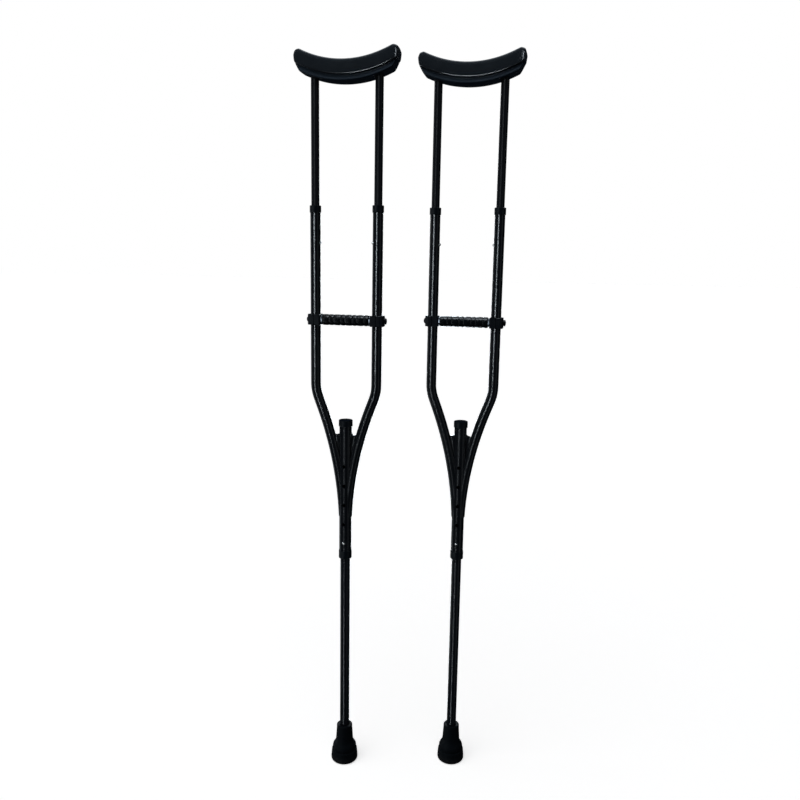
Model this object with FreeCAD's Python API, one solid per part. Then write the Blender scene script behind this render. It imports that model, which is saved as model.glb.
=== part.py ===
import FreeCAD, Part
import math
import os

from FreeCAD import Vector

# A pair of adjustable underarm crutches, standing upright side by side.
# Millimetres, +Z up, floor at z = 0. Each crutch lies in its own XZ plane and is built about
# x = 0, y = 0, then moved to its place in the pair. -Y is the front, where the leg button is.
# Within a crutch "fore" is the side tube at -X and "aft" the one at +X.

# How far a cutting shape runs past the face it cuts, and how near counts as the same place
PAST = 2.0
NEAR = 0.1

# The pair
CRUTCH_PLACES = {"left": Vector(-108, -27, 0), "right": Vector(108, 27, 0)}

# Side tubes (bows) and the tubes that telescope into them
BOW_SPACING = 120.0
BOW_R = 9.5
BOW_WALL = 1.2
BOW_TOP = 1121.0
UPPER_R = 7.5
UPPER_WALL = 1.2
UPPER_BOTTOM = 1022.0
UPPER_TOP = 1366.0

# Course of a bow below the grip: a bend inward, a slant, then a long curve onto the centre tube
BOW_SLANT = 20.7
BEND_R = 80.0
SWEEP_R = 700.0
SWEEP_FOOT_X = 3.1
SWEEP_FOOT_Z = 500.0
BOW_END_Z = 530.0

# Centre tube and the leg that telescopes into it
CENTRE_R = 12.0
CENTRE_WALL = 1.5
CENTRE_BOTTOM = 446.0
CENTRE_TOP = 718.0
LEG_R = 9.5
LEG_WALL = 1.2
LEG_TOP = 505.0

# Web plates that close the fork between the centre tube and the bows
WEB_TOP = 699.0
WEB_LOW = 655.0
WEB_DIP = 5.5
WEB_HALF_T = 5.0
WEB_REACH = 30.0
WEB_ROOT_IN = 3.0
WEB_GROOVE_R = 9.0
WEB_GROOVE_Y = 11.0
WEB_GROOVE_OUT = 0.4
WEB_GROOVE_LEAN = 8.0

# Adjustment holes
LEG_BUTTON_Z = 476.0
LEG_HOLE_PITCH = 39.0
LEG_HOLES = 5
LEG_HOLE_R = 3.4
SNAP_Z = 1057.0
SNAP_PITCH = 20.0
SNAP_HOLES_DOWN = 5
SNAP_HOLES_UP = 1
SNAP_HOLE_R = 3.0
GRIP_Z = 914.5
GRIP_HOLE_PITCH = 25.0
GRIP_HOLES_DOWN = 3
GRIP_HOLES_UP = 1

# Collars and cap
COLLAR_R = 10.6
COLLAR_BOTTOM = 1111.0
COLLAR_LIP = 3.0
COLLAR_EDGE = 1.0
CAP_R = 13.4
CAP_BOTTOM = 711.0
CAP_TOP = 723.0
CAP_EDGE = 1.2
FOOT_COLLAR_R = 12.8
FOOT_COLLAR_TOP = 459.0
FOOT_COLLAR_LIP = 2.5
FOOT_BUSH_TOP = 467.0
FOOT_COLLAR_EDGE = 0.7
SLIDING_GAP = 0.06

# Handgrip
GRIP_R = 10.3
GRIP_HALF = 45.0
GRIP_EDGE = 1.2
GRIP_RIB_PITCH = 11.6
GRIP_GROOVE_R = 2.4
GRIP_GROOVE_OUT = 1.6
GRIP_CORE_R = 6.5
BOLT_R = 3.0
BOLT_HOLE_R = 3.2
BOLT_HEAD_R = 6.5
BOLT_HEAD_H = 4.0
NUT_ACROSS = 10.0
NUT_T = 4.1
BOLT_END = 0.7
SADDLE_HALF_H = 10.2
SADDLE_HALF_Y = 12.5
SADDLE_INNER_X = 48.5
SADDLE_OUTER_X = 73.7
SADDLE_SPLIT = 0.6
SADDLE_EDGE = 2.0
SADDLE_NOSE_R = 7.0
SADDLE_RIM = 1.6
WASHER_R = 8.2
WASHER_T = 2.9
WASHER_GAP = 0.3
WASHER_EDGE = 0.5

# Underarm pad and the rigid saddle beneath it
PAD_HALF_LENGTH = 96.5
PAD_HALF_DEPTH = 20.5
PAD_TOP_ARC_R = 190.0
PAD_TOP_MID_Z = 1374.0
PAD_CREST_X = 86.0
PAD_HORN_DROP = 10.0
PAD_HORN_IN = 2.8
PAD_HORN_DOWN = 1.8
PAD_EDGE = 5.0
PAD_CREASE_MID_Z = 1347.0
PAD_CREASE_END_Z = 1371.0
PAD_CREASE_HALF = 94.0
KEEL_HALF_DEPTH = 17.5
KEEL_BOTTOM_MID_Z = 1336.5
KEEL_BOTTOM_END_Z = 1351.5
KEEL_BOTTOM_HALF = 76.0
KEEL_HEEL_X = 88.0
KEEL_HEEL_Z = 1360.5
KEEL_BULGE_IN = 4.0
KEEL_BULGE_UP = 3.2
KEEL_EDGE = 4.0
SOCKET_R = 10.5
SOCKET_TOP = 1369.0
PAD_SCREW_Z = 1352.5
SCREW_R = 1.6
SCREW_HEAD_R = 3.4
SCREW_HEAD_T = 1.8
SCREW_HEAD_EDGE = 1.0
SCREW_SLOT_HALF = 2.2
SCREW_SLOT_T = 0.8
SCREW_SLOT_DEEP = 0.8

# Snap buttons and their hairpin springs
BUTTON_R = 2.8
BUTTON_TIP = 11.7
BUTTON_SEAT = 4.3
BUTTON_FLANGE_R = 3.6
SPRING_BACK = 5.4
SPRING_WIDTH = 5.6
SPRING_LENGTH = 22.0
LEG_BUTTON_R = 3.2
LEG_BUTTON_TIP = 14.2
LEG_BUTTON_SEAT = 6.2
LEG_BUTTON_FLANGE_R = 4.2
LEG_SPRING_BACK = 6.9
LEG_SPRING_WIDTH = 8.0
LEG_SPRING_LENGTH = 30.0
DOME_SHARE = 0.75
FLANGE_T = 0.8
LEAF_T = 0.6
LEAF_END = 1.0

# Ferrule tip
TIP_TOP = 78.0
TIP_FLOOR = 14.0
TIP_BASE_R = 27.2
TIP_SKIRT_R = 26.0
TIP_STEP_R = 24.3
TIP_SHOULDER_R = 19.6
TIP_NECK_LOW_R = 17.4
TIP_NECK_TOP_R = 15.7
TIP_BAND_TOP = 8.0
TIP_SKIRT_TOP = 22.0
TIP_STEP_FOOT = 23.5
TIP_STEP_TOP = 29.0
TIP_SHOULDER_Z = 42.0
TIP_NECK_FOOT = 47.0
TREAD_GROOVES = (9.0, 14.0, 19.0)
TREAD_HALF_W = 1.5
TREAD_DEEP = 2.5
DISC_R = 15.0
DISC_T = 2.5

X = Vector(1, 0, 0)
Y = Vector(0, 1, 0)
Z = Vector(0, 0, 1)
ORIGIN = Vector(0, 0, 0)


def upright(radius, low, high, x=0.0):
    """A vertical round bar between two heights."""
    return Part.makeCylinder(radius, high - low, Vector(x, 0, low), Z)


def pipe(outer, wall, low, high, x=0.0):
    """A vertical tube."""
    return upright(outer, low, high, x).cut(upright(outer - wall, low - PAST, high + PAST, x))


def box(x0, x1, y0, y1, z0, z1):
    """A box between two corners."""
    return Part.makeBox(x1 - x0, y1 - y0, z1 - z0, Vector(x0, y0, z0))


def bar(start, direction, radius, length):
    """A round bar from a point along a direction."""
    return Part.makeCylinder(radius, length, start, direction)


def mirrored(shape):
    """The same piece on the fore side."""
    return shape.mirror(ORIGIN, X)


def arc_between(a, b, rise):
    """An arc from a to b in the XZ plane whose middle lies `rise` above the chord."""
    middle = (a + b) * 0.5 + Vector(0, 0, rise)
    return Part.Arc(a, middle, b).toShape()


def rounded(shape, radius, chosen):
    """Fillet the edges that `chosen` picks."""
    return shape.makeFillet(radius, [e for e in shape.Edges if chosen(e)])


def turned(profile_edges):
    """A solid of revolution about Z from edges of a closed outline at y = 0, x >= 0."""
    face = Part.Face(Part.Wire(Part.__sortEdges__(profile_edges)))
    return face.revolve(ORIGIN, Z, 360)


def lines_through(points):
    """Straight edges joining (x, z) points in order."""
    ends = [Vector(x, 0, z) for x, z in points]
    return [Part.makeLine(a, b) for a, b in zip(ends, ends[1:])]


def bent_bar(radius, start, steps):
    """A round bar that starts downward and follows runs and bends in the XZ plane.

    Each step is ("run", length) or ("bend", radius, degrees); positive degrees turn towards -X.
    """
    at = start
    heading = Vector(0, 0, -1)
    pieces = []
    for step in steps:
        end_face = Part.Face(Part.Wire(Part.makeCircle(radius, at, heading)))
        if step[0] == "run":
            pieces.append(end_face.extrude(heading * step[1]))
            at = at + heading * step[1]
            continue
        side = heading.cross(Y) * math.copysign(step[1], step[2])
        centre = at - side
        pieces.append(end_face.revolve(centre, Y, step[2]))
        turn = FreeCAD.Rotation(Y, step[2])
        at = centre + turn.multVec(side)
        heading = turn.multVec(heading)
    return pieces[0].fuse(pieces[1:]).removeSplitter()


def bow_steps():
    """The aft bow's course from its top end down to the foot of its long curve."""
    slant = math.radians(BOW_SLANT)
    x_of_tube = BOW_SPACING / 2
    curve_x = SWEEP_FOOT_X + SWEEP_R * (1 - math.cos(slant))
    curve_z = SWEEP_FOOT_Z + SWEEP_R * math.sin(slant)
    corner_z = curve_z + (x_of_tube - curve_x) / math.tan(slant)
    tangent = BEND_R * math.tan(slant / 2)
    slant_run = (x_of_tube - curve_x) / math.sin(slant) - tangent
    return [
        ("run", BOW_TOP - corner_z - tangent),
        ("bend", BEND_R, BOW_SLANT),
        ("run", slant_run),
        ("bend", SWEEP_R, -BOW_SLANT),
    ]


def hole_heights(z, pitch, down, up):
    """Heights of a row of holes counted from the one in use."""
    return [z + n * pitch for n in range(-down, up + 1)]


def bow_tube():
    """The aft side tube, mitred onto the centre tube, with its snap and grip holes."""
    x = BOW_SPACING / 2
    top = Vector(x, 0, BOW_TOP)
    tube = bent_bar(BOW_R, top, bow_steps()).cut(bent_bar(BOW_R - BOW_WALL, top, bow_steps()))
    tube = tube.cut(upright(CENTRE_R, SWEEP_FOOT_Z - PAST, BOW_TOP))
    tube = tube.cut(box(-x, x, -x, x, SWEEP_FOOT_Z - PAST, BOW_END_Z))
    reach = BOW_R + PAST
    for z in hole_heights(SNAP_Z, SNAP_PITCH, SNAP_HOLES_DOWN, SNAP_HOLES_UP):
        tube = tube.cut(bar(Vector(x - reach, 0, z), X, SNAP_HOLE_R, reach))
    for z in hole_heights(GRIP_Z, GRIP_HOLE_PITCH, GRIP_HOLES_DOWN, GRIP_HOLES_UP):
        tube = tube.cut(bar(Vector(x - reach, 0, z), X, BOLT_HOLE_R, 2 * reach))
    return tube


def centre_tube():
    """The tube that takes the leg, with its row of adjustment holes at the front."""
    tube = pipe(CENTRE_R, CENTRE_WALL, CENTRE_BOTTOM, CENTRE_TOP)
    reach = CENTRE_R + PAST
    for z in hole_heights(LEG_BUTTON_Z, LEG_HOLE_PITCH, 0, LEG_HOLES - 1):
        tube = tube.cut(bar(Vector(0, -reach, z), Y, LEG_HOLE_R, reach))
    return tube


def web_plate():
    """The plate that closes the fork between the centre tube and the aft bow, hollow-topped."""
    root = CENTRE_R - WEB_ROOT_IN
    edges = lines_through([(WEB_REACH, WEB_TOP), (WEB_REACH, WEB_LOW), (root, WEB_LOW), (root, WEB_TOP)])
    edges.append(arc_between(Vector(root, 0, WEB_TOP), Vector(WEB_REACH, 0, WEB_TOP), -WEB_DIP))
    plate = slab(Part.Face(Part.Wire(Part.__sortEdges__(edges))), WEB_HALF_T)
    plate = plate.cut(upright(CENTRE_R, WEB_LOW - PAST, WEB_TOP + PAST))
    plate = plate.cut(bent_bar(BOW_R, Vector(BOW_SPACING / 2, 0, BOW_TOP), bow_steps()))
    plate = biggest(plate)
    lean = Vector(math.tan(math.radians(WEB_GROOVE_LEAN)), 0, 1)
    for side in (-1, 1):
        foot = Vector(CENTRE_R + WEB_GROOVE_OUT, side * WEB_GROOVE_Y, WEB_LOW - PAST)
        plate = plate.cut(bar(foot, lean, WEB_GROOVE_R, WEB_TOP - WEB_LOW + 4 * PAST))
    return biggest(plate)


def biggest(shape):
    """The largest solid of a cut, on its own."""
    return max(shape.Solids, key=lambda s: s.Volume)


def cap():
    """Plastic cap over the open top of the centre tube."""
    body = upright(CAP_R, CAP_BOTTOM, CAP_TOP)
    body = rounded(body, CAP_EDGE, lambda e: e.BoundBox.ZMin > CAP_TOP - NEAR)
    return body.cut(upright(CENTRE_R, CAP_BOTTOM - PAST, CENTRE_TOP))


def bow_collar():
    """Plastic collar over the end of the aft bow, with a lip that guides the upper tube."""
    x = BOW_SPACING / 2
    body = upright(COLLAR_R, COLLAR_BOTTOM, BOW_TOP + COLLAR_LIP, x)
    body = rounded(body, COLLAR_EDGE, lambda e: e.BoundBox.ZLength < NEAR)
    body = body.cut(upright(BOW_R, COLLAR_BOTTOM - PAST, BOW_TOP, x))
    return body.cut(upright(UPPER_R + SLIDING_GAP, BOW_TOP - PAST, BOW_TOP + COLLAR_LIP + PAST, x))


def foot_collar():
    """Plastic collar and bush at the lower end of the centre tube, guiding the leg."""
    low = CENTRE_BOTTOM - FOOT_COLLAR_LIP
    body = upright(FOOT_COLLAR_R, low, FOOT_COLLAR_TOP)
    body = rounded(body, FOOT_COLLAR_EDGE, lambda e: e.BoundBox.ZLength < NEAR)
    ring = upright(CENTRE_R, CENTRE_BOTTOM, FOOT_COLLAR_TOP + PAST)
    bush = upright(CENTRE_R - CENTRE_WALL, CENTRE_BOTTOM, FOOT_BUSH_TOP)
    bore = upright(LEG_R + SLIDING_GAP, low - PAST, FOOT_BUSH_TOP + PAST)
    return body.cut(ring).fuse(bush).cut(bore).removeSplitter()


def grip_bore(radius):
    """A cutter through the whole length of the grip."""
    start = Vector(-GRIP_HALF - PAST, 0, GRIP_Z)
    return bar(start, X, radius, 2 * (GRIP_HALF + PAST))


def grip():
    """Rubber handgrip sleeve with shallow finger ribs."""
    sleeve = bar(Vector(-GRIP_HALF, 0, GRIP_Z), X, GRIP_R, 2 * GRIP_HALF)
    sleeve = rounded(sleeve, GRIP_EDGE, lambda e: e.BoundBox.XLength < NEAR)
    valleys = int(GRIP_HALF / GRIP_RIB_PITCH)
    for n in range(-valleys, valleys):
        middle = Vector((n + 0.5) * GRIP_RIB_PITCH, 0, GRIP_Z)
        sleeve = sleeve.cut(Part.makeTorus(GRIP_R + GRIP_GROOVE_OUT, GRIP_GROOVE_R, middle, X))
    return sleeve.cut(grip_bore(GRIP_CORE_R))


def grip_core():
    """Rigid tube inside the grip that the bolt pulls the saddles against."""
    core = bar(Vector(-GRIP_HALF, 0, GRIP_Z), X, GRIP_CORE_R, 2 * GRIP_HALF)
    return core.cut(grip_bore(BOLT_HOLE_R))


def inner_saddle():
    """Moulded block between the grip and the aft bow, hollowed to fit the tube."""
    x = BOW_SPACING / 2
    low = GRIP_Z - SADDLE_HALF_H
    high = GRIP_Z + SADDLE_HALF_H
    block = box(SADDLE_INNER_X, x - SADDLE_SPLIT, -SADDLE_HALF_Y, SADDLE_HALF_Y, low, high)
    block = rounded(block, SADDLE_EDGE, lambda e: e.BoundBox.XMax < SADDLE_INNER_X + NEAR)
    block = block.cut(upright(BOW_R, low - PAST, high + PAST, x))
    return block.cut(bar(Vector(0, 0, GRIP_Z), X, BOLT_HOLE_R, x))


def outer_saddle():
    """Moulded block outside the aft bow, rounded outward, seating the bolt head or nut."""
    x = BOW_SPACING / 2
    low = GRIP_Z - SADDLE_HALF_H
    high = GRIP_Z + SADDLE_HALF_H
    block = box(x + SADDLE_SPLIT, SADDLE_OUTER_X, -SADDLE_HALF_Y, SADDLE_HALF_Y, low, high)
    block = rounded(block, SADDLE_NOSE_R, lambda e: e.BoundBox.XMin > SADDLE_OUTER_X - NEAR
                    and e.BoundBox.ZLength > SADDLE_HALF_H)
    block = rounded(block, SADDLE_RIM, lambda e: e.BoundBox.XMin > x + SADDLE_SPLIT + NEAR
                    and e.BoundBox.ZLength < NEAR)
    block = block.cut(upright(BOW_R, low - PAST, high + PAST, x))
    return block.cut(bar(Vector(x, 0, GRIP_Z), X, BOLT_HOLE_R, SADDLE_OUTER_X))


def grip_bolt():
    """Carriage bolt through both bows: dome head on the fore side."""
    shank = bar(Vector(-SADDLE_OUTER_X, 0, GRIP_Z), X, BOLT_R, 2 * SADDLE_OUTER_X + NUT_T + BOLT_END)
    ball_r = (BOLT_HEAD_R ** 2 + BOLT_HEAD_H ** 2) / (2 * BOLT_HEAD_H)
    ball = Part.makeSphere(ball_r, Vector(-SADDLE_OUTER_X + ball_r - BOLT_HEAD_H, 0, GRIP_Z))
    keep = bar(Vector(-SADDLE_OUTER_X, 0, GRIP_Z), X * -1, BOLT_HEAD_R, BOLT_HEAD_H + PAST)
    return shank.fuse(ball.common(keep)).removeSplitter()


def hexagon(across, centre, thickness):
    """A hexagonal prism along X."""
    corner = across / math.sqrt(3)
    points = [
        centre + Vector(0, corner * math.sin(math.radians(a)), corner * math.cos(math.radians(a)))
        for a in range(0, 361, 60)
    ]
    return Part.Face(Part.makePolygon(points)).extrude(X * thickness)


def grip_nut():
    """Hexagon nut on the aft side."""
    start = Vector(SADDLE_OUTER_X, 0, GRIP_Z)
    return hexagon(NUT_ACROSS, start, NUT_T).cut(bar(start - X * PAST, X, BOLT_R, NUT_T + 2 * PAST))


def grip_washers():
    """A thick spacer washer at each end of the grip."""
    start = Vector(GRIP_HALF + WASHER_GAP, 0, GRIP_Z)
    ring = bar(start, X, WASHER_R, WASHER_T)
    ring = rounded(ring, WASHER_EDGE, lambda e: e.BoundBox.XLength < NEAR)
    ring = ring.cut(bar(start - X * PAST, X, BOLT_HOLE_R, WASHER_T + 2 * PAST))
    return Part.makeCompound([mirrored(ring), ring])


def upper_tube():
    """The aft telescoping tube that carries the pad."""
    x = BOW_SPACING / 2
    tube = pipe(UPPER_R, UPPER_WALL, UPPER_BOTTOM, UPPER_TOP, x)
    reach = UPPER_R + PAST
    tube = tube.cut(bar(Vector(x - reach, 0, SNAP_Z), X, SNAP_HOLE_R, reach))
    return tube.cut(bar(Vector(x, 0, PAD_SCREW_Z), Y, SCREW_R, reach))


def crease_arc():
    """The curved seam where the pad sits on its rigid saddle."""
    end = Vector(PAD_CREASE_HALF, 0, PAD_CREASE_END_Z)
    return arc_between(end - X * (2 * end.x), end, PAD_CREASE_MID_Z - PAD_CREASE_END_Z)


def pad_outline():
    """Side outline of the pad: hollow top, rounded ends, curved underside."""
    crest_z = PAD_TOP_MID_Z + PAD_TOP_ARC_R - math.sqrt(PAD_TOP_ARC_R ** 2 - PAD_CREST_X ** 2)
    crest = Vector(PAD_CREST_X, 0, crest_z)
    shoulder = Vector(PAD_HALF_LENGTH, 0, crest_z - PAD_HORN_DROP)
    hip = Vector(PAD_CREASE_HALF, 0, PAD_CREASE_END_Z)
    tip = Vector(PAD_HALF_LENGTH - PAD_HORN_IN, 0, crest_z - PAD_HORN_DOWN)
    half = [
        Part.Arc(crest, tip, shoulder).toShape(),
        Part.makeLine(shoulder, hip),
    ]
    other = [e.mirror(ORIGIN, X) for e in half]
    top = arc_between(crest - X * (2 * PAD_CREST_X), crest, PAD_TOP_MID_Z - crest_z)
    return Part.Face(Part.Wire(Part.__sortEdges__(half + other + [top, crease_arc()])))


def slab(face, half_depth):
    """A flat XZ outline given an even depth about y = 0."""
    body = face.extrude(Y * (2 * half_depth))
    body.translate(Y * -half_depth)
    return body


def underarm_pad():
    """Closed soft solid of the pad, cored out for the two tube sockets."""
    pad = slab(pad_outline(), PAD_HALF_DEPTH)
    pad = rounded(pad, PAD_EDGE, lambda e: abs(abs(e.BoundBox.YMin) - PAD_HALF_DEPTH) < NEAR
                  and e.BoundBox.YLength < NEAR and e.BoundBox.ZMax > PAD_CREASE_END_Z + NEAR)
    for side in (-1, 1):
        x = side * BOW_SPACING / 2
        pad = pad.cut(upright(SOCKET_R, PAD_CREASE_MID_Z - PAST, SOCKET_TOP, x))
    return pad


def keel_outline():
    """Side outline of the rigid saddle under the pad."""
    hip = Vector(PAD_CREASE_HALF, 0, PAD_CREASE_END_Z)
    heel = Vector(KEEL_HEEL_X, 0, KEEL_HEEL_Z)
    toe = Vector(KEEL_BOTTOM_HALF, 0, KEEL_BOTTOM_END_Z)
    bulge = Vector(KEEL_HEEL_X - KEEL_BULGE_IN, 0, KEEL_BOTTOM_END_Z + KEEL_BULGE_UP)
    half = [Part.makeLine(hip, heel), Part.Arc(heel, bulge, toe).toShape()]
    other = [e.mirror(ORIGIN, X) for e in half]
    under = arc_between(toe - X * (2 * toe.x), toe, KEEL_BOTTOM_MID_Z - toe.z)
    return Part.Face(Part.Wire(Part.__sortEdges__(half + other + [crease_arc(), under])))


def pad_saddle():
    """Rigid moulding under the pad, with a socket for each upper tube."""
    keel = slab(keel_outline(), KEEL_HALF_DEPTH)
    keel = rounded(keel, KEEL_EDGE, lambda e: abs(abs(e.BoundBox.YMin) - KEEL_HALF_DEPTH) < NEAR
                   and e.BoundBox.YLength < NEAR and e.BoundBox.ZMin < KEEL_BOTTOM_MID_Z + NEAR)
    for side in (-1, 1):
        x = side * BOW_SPACING / 2
        keel = keel.fuse(upright(SOCKET_R, PAD_CREASE_MID_Z, SOCKET_TOP, x))
    for side in (-1, 1):
        x = side * BOW_SPACING / 2
        keel = keel.cut(upright(UPPER_R, KEEL_BOTTOM_MID_Z - PAST, UPPER_TOP, x))
        keel = keel.cut(bar(Vector(x, 0, PAD_SCREW_Z), Y, SCREW_R, KEEL_HALF_DEPTH + PAST))
    return keel.removeSplitter()


def pad_screws():
    """Pan-head screws from the rear through the saddle into each upper tube."""
    screws = []
    for side in (-1, 1):
        seat = Vector(side * BOW_SPACING / 2, KEEL_HALF_DEPTH, PAD_SCREW_Z)
        reach = KEEL_HALF_DEPTH - UPPER_R + UPPER_WALL + PAST
        face_y = seat.y + SCREW_HEAD_T
        head = bar(seat, Y, SCREW_HEAD_R, SCREW_HEAD_T)
        head = rounded(head, SCREW_HEAD_EDGE, lambda e: e.BoundBox.YMin > face_y - NEAR)
        slot = box(seat.x - SCREW_SLOT_HALF, seat.x + SCREW_SLOT_HALF, face_y - SCREW_SLOT_DEEP,
                   face_y + PAST, seat.z - SCREW_SLOT_T / 2, seat.z + SCREW_SLOT_T / 2)
        screws.append(bar(seat - Y * reach, Y, SCREW_R, reach).fuse(head).cut(slot))
    return Part.makeCompound(screws)


def snap_button(radius, flange_r, seat, tip):
    """A domed button along +X from the tube's axis, flanged behind the wall."""
    dome = radius * DOME_SHARE
    ball_r = (radius ** 2 + dome ** 2) / (2 * dome)
    shank = bar(X * seat, X, radius, tip - seat - dome)
    ball = Part.makeSphere(ball_r, X * (tip - ball_r))
    nose = ball.common(bar(X * (tip - dome), X, radius, dome + PAST))
    flange = bar(X * seat, X, flange_r, FLANGE_T)
    return shank.fuse([nose, flange]).removeSplitter()


def hairpin(seat, back, width, length):
    """A hairpin leaf spring: one leg behind the button at +X, the other on the far wall."""
    outer = 0.5 * (seat + back)
    middle = 0.5 * (seat - back)
    half = width / 2
    bend_z = -length
    hoop = Part.makeCylinder(outer, width, Vector(middle, -half, bend_z), Y)
    hollow = Part.makeCylinder(outer - LEAF_T, width, Vector(middle, -half, bend_z), Y)
    lower_half = box(-back, seat, -half, half, bend_z - outer, bend_z)
    legs = [
        box(seat - LEAF_T, seat, -half, half, bend_z, half + LEAF_END),
        box(-back, -back + LEAF_T, -half, half, bend_z, 0),
    ]
    return hoop.cut(hollow).common(lower_half).fuse(legs).removeSplitter()


def set_in(shape, towards, place):
    """Turn a piece built along +X to face a direction, then put it in place."""
    piece = shape.copy()
    piece.Placement = FreeCAD.Placement(place, FreeCAD.Rotation(X, towards)).multiply(
        piece.Placement)
    return piece


def upper_button():
    """The aft upper tube's snap button, which faces the other tube."""
    button = snap_button(BUTTON_R, BUTTON_FLANGE_R, BUTTON_SEAT, BUTTON_TIP)
    return set_in(button, X * -1, Vector(BOW_SPACING / 2, 0, SNAP_Z))


def upper_springs():
    """The two hairpin springs inside the upper tubes."""
    spring = hairpin(BUTTON_SEAT, SPRING_BACK, SPRING_WIDTH, SPRING_LENGTH)
    aft = set_in(spring, X * -1, Vector(BOW_SPACING / 2, 0, SNAP_Z))
    return Part.makeCompound([mirrored(aft), aft])


def leg_button():
    """The leg's snap button, at the front."""
    button = snap_button(LEG_BUTTON_R, LEG_BUTTON_FLANGE_R, LEG_BUTTON_SEAT, LEG_BUTTON_TIP)
    return set_in(button, Y * -1, Vector(0, 0, LEG_BUTTON_Z))


def leg_spring():
    """The hairpin spring inside the leg tube."""
    spring = hairpin(LEG_BUTTON_SEAT, LEG_SPRING_BACK, LEG_SPRING_WIDTH, LEG_SPRING_LENGTH)
    return set_in(spring, Y * -1, Vector(0, 0, LEG_BUTTON_Z))


def leg_tube():
    """The telescoping leg."""
    tube = pipe(LEG_R, LEG_WALL, TIP_FLOOR, LEG_TOP)
    reach = LEG_R + PAST
    return tube.cut(bar(Vector(0, -reach, LEG_BUTTON_Z), Y, LEG_HOLE_R, reach))


def arc_through(*points):
    """An arc through three (x, z) points."""
    return Part.Arc(*[Vector(x, 0, z) for x, z in points]).toShape()


def rubber_tip():
    """Stepped rubber ferrule with a ringed tread, moulded round a steel disc."""
    foot_edge = 3.0
    edges = lines_through([(0, 0), (TIP_BASE_R - foot_edge, 0)])
    edges.append(arc_through((TIP_BASE_R - foot_edge, 0), (TIP_BASE_R - 0.9, 0.9), (TIP_BASE_R, foot_edge)))
    edges += lines_through([(TIP_BASE_R, foot_edge), (TIP_BASE_R, TIP_BAND_TOP), (TIP_SKIRT_R, TIP_SKIRT_TOP),
                            (TIP_STEP_R, TIP_STEP_FOOT), (TIP_STEP_R, TIP_STEP_TOP)])
    shoulder = (TIP_SHOULDER_R, TIP_SHOULDER_Z)
    neck_foot = (TIP_NECK_LOW_R, TIP_NECK_FOOT)
    edges.append(arc_through((TIP_STEP_R, TIP_STEP_TOP), (TIP_STEP_R - 1.5, TIP_STEP_TOP + 7), shoulder))
    edges.append(arc_through(shoulder, (TIP_SHOULDER_R - 1.4, TIP_SHOULDER_Z + 1.8), neck_foot))
    edges += lines_through([neck_foot, (TIP_NECK_TOP_R, TIP_TOP - 4), (TIP_NECK_TOP_R - 1.8, TIP_TOP),
                            (0, TIP_TOP), (0, 0)])
    tip = turned(edges)
    tip = tip.cut(upright(LEG_R, TIP_FLOOR, TIP_TOP + PAST))
    tip = tip.cut(upright(DISC_R, TIP_FLOOR - DISC_T, TIP_FLOOR))
    for groove_r in TREAD_GROOVES:
        ring = upright(groove_r + TREAD_HALF_W, -PAST, TREAD_DEEP)
        tip = tip.cut(ring.cut(upright(groove_r - TREAD_HALF_W, -PAST, TREAD_DEEP)))
    return tip


def tip_disc():
    """Steel disc moulded into the ferrule, under the end of the leg tube."""
    return upright(DISC_R, TIP_FLOOR - DISC_T, TIP_FLOOR)


def crutch_parts():
    """Every piece of one crutch, by name, about x = 0, y = 0."""
    bow = bow_tube()
    web = web_plate()
    collar = bow_collar()
    upper = upper_tube()
    inner = inner_saddle()
    outer = outer_saddle()
    button = upper_button()
    return {
        "fore_bow_tube": mirrored(bow),
        "aft_bow_tube": bow,
        "centre_tube": centre_tube(),
        "web_plates": Part.makeCompound([mirrored(web), web]),
        "top_cap": cap(),
        "foot_collar": foot_collar(),
        "fore_collar": mirrored(collar),
        "aft_collar": collar,
        "handgrip": grip(),
        "grip_core": grip_core(),
        "grip_bolt": grip_bolt(),
        "grip_nut": grip_nut(),
        "grip_washers": grip_washers(),
        "fore_inner_saddle": mirrored(inner),
        "aft_inner_saddle": inner,
        "fore_outer_saddle": mirrored(outer),
        "aft_outer_saddle": outer,
        "fore_upper_tube": mirrored(upper),
        "aft_upper_tube": upper,
        "pad_saddle": pad_saddle(),
        "underarm_pad": underarm_pad(),
        "pad_screws": pad_screws(),
        "upper_snap_springs": upper_springs(),
        "fore_snap_button": mirrored(button),
        "aft_snap_button": button,
        "leg_tube": leg_tube(),
        "rubber_tip": rubber_tip(),
        "tip_disc": tip_disc(),
        "leg_snap_spring": leg_spring(),
        "leg_snap_button": leg_button(),
    }


os.makedirs("parts", exist_ok=True)
one_crutch = crutch_parts()
for side, place in CRUTCH_PLACES.items():
    for name, piece in one_crutch.items():
        moved = piece.copy()
        moved.translate(place)
        moved.exportStep("parts/" + side + "_" + name + ".step")
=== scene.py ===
"""Underarm crutches: materials, soft forms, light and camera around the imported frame.

Metres, +Z up, floor at z = 0. The crutches stand side by side along X, fronts towards -Y.
"""

import math

import bmesh
import bpy
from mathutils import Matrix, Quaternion, Vector


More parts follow.
